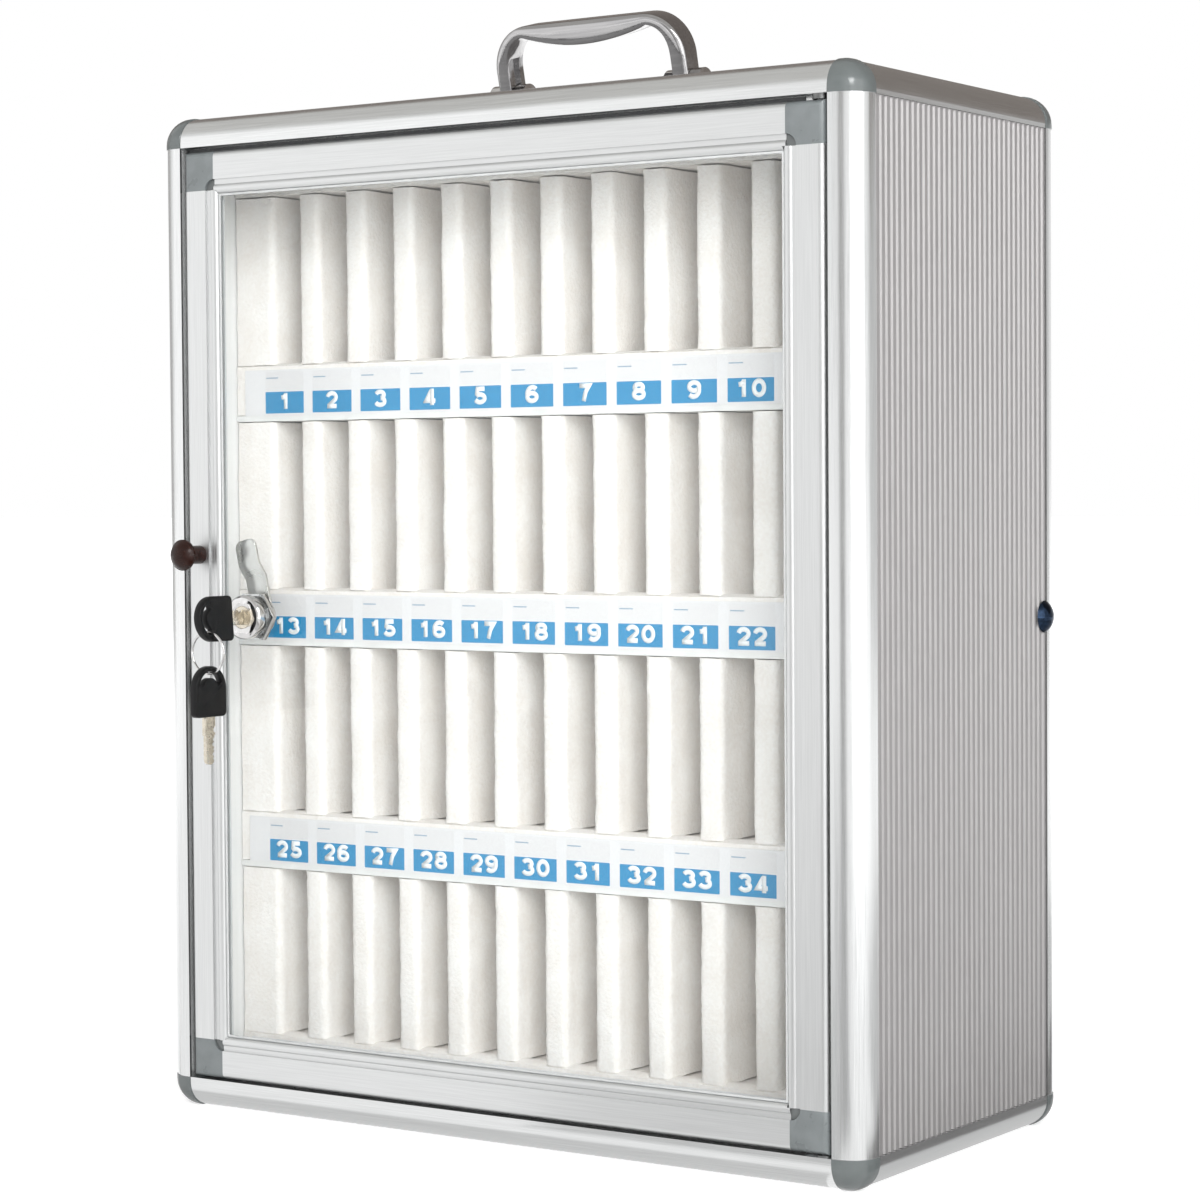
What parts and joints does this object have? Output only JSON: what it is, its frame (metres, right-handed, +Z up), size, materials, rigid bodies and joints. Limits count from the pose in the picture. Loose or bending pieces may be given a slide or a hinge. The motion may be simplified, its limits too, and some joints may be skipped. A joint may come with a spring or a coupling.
{
  "type": "cell phone locker box",
  "caption": "Portable aluminium-edged case with a clear locking door, a folding carrying handle and tiers of foam slots that store phones on edge.",
  "frame": {"origin": "middle of the case's flat underside, on the surface it stands on", "axes": "+X to the right of a person facing the door, +Y to the back, +Z up"},
  "size_m": [0.4095, 0.2402, 0.5463],
  "materials": {
    "edge_profile": "satin anodised",
    "corner_cap": "gloss",
    "side_sheet": "satin",
    "flat_sheet": "satin",
    "shelf": "matte",
    "foam": "matte closed-cell foam",
    "label": "gloss",
    "stud": "polished",
    "bearing": "matte",
    "fastener": "satin",
    "handle_metal": "polished",
    "door_frame": "satin anodised",
    "door_corner": "gloss",
    "clear_sheet": "polished",
    "knob": "gloss",
    "lock_metal": "polished",
    "plug": "satin nickel",
    "cam": "satin",
    "key_metal": "satin nickel",
    "key_grip": "satin",
    "ring_wire": "polished"
  },
  "bodies": {
    "case": {"post_front_left": "edge_profile", "post_front_right": "edge_profile", "post_rear_left": "edge_profile", "post_rear_right": "edge_profile", "rail_top_front": "edge_profile", "rail_top_rear": "edge_profile", "rail_top_left": "edge_profile", "rail_top_right": "edge_profile", "rail_bottom_front": "edge_profile", "rail_bottom_rear": "edge_profile", "rail_bottom_left": "edge_profile", "rail_bottom_right": "edge_profile", "corner_caps_top": "corner_cap", "corner_caps_bottom": "corner_cap", "side_panel_left": "side_sheet", "side_panel_right": "side_sheet", "top_panel": "flat_sheet", "bottom_panel": "flat_sheet", "back_panel": "flat_sheet", "shelves": "shelf", "foam_base_1": "foam", "foam_base_2": "foam", "foam_base_3": "foam", "foam_base_4": "foam", "foam_dividers_1": "foam", "foam_dividers_2": "foam", "foam_dividers_3": "foam", "foam_dividers_4": "foam", "foam_top": "foam", "label_strips": "label", "side_stud": "stud", "hinge_blocks": "bearing", "hinge_washers": "fastener", "handle_brackets": "handle_metal", "handle_pins": "fastener", "handle_rivets": "fastener"},
    "door": {"door_stile_left": "door_frame", "door_stile_right": "door_frame", "door_rail_top": "door_frame", "door_rail_bottom": "door_frame", "door_corners": "door_corner", "door_glass": "clear_sheet", "hinge_pins": "fastener", "door_knob": "knob", "knob_screw": "fastener", "lock_body": "lock_metal", "lock_nut": "lock_metal"},
    "lock_plug": {"lock_plug": "plug", "lock_cam": "cam", "cam_screw": "fastener"},
    "key": {"key_blade": "key_metal", "key_head": "key_grip"},
    "key_ring": {"key_ring": "ring_wire"},
    "spare_key": {"spare_key_blade": "key_metal", "spare_key_head": "key_grip"},
    "handle": {"handle": "handle_metal"}
  },
  "joints": [
    {"name": "door_hinge", "type": "hinge", "parent": "case", "child": "door", "pos_m": [0.1816, -0.0964, 0.24925], "axis": [0, 0, 1], "range_deg": [0, 110]},
    {"name": "lock_turn", "type": "hinge", "parent": "door", "child": "lock_plug", "pos_m": [-0.1476, -0.09705, 0.2495], "axis": [0, -1, 0], "range_deg": [-4, 77]},
    {"name": "key_pull", "type": "slide", "parent": "lock_plug", "child": "key", "axis": [0, -1, 0], "range_m": [0, 0.025]},
    {"name": "ring_swing", "type": "hinge", "parent": "key", "child": "key_ring", "pos_m": [-0.14716, -0.12849, 0.24313], "axis": [1, 0, 0], "range_deg": [-45, 15]},
    {"name": "spare_key_swing", "type": "hinge", "parent": "key_ring", "child": "spare_key", "pos_m": [-0.14716, -0.12849, 0.22283], "axis": [1, 0, 0], "range_deg": [-45, 15]},
    {"name": "handle_fold", "type": "hinge", "parent": "case", "child": "handle", "pos_m": [0, 0, 0.509], "axis": [1, 0, 0], "range_deg": [-104, 76]}
  ]
}
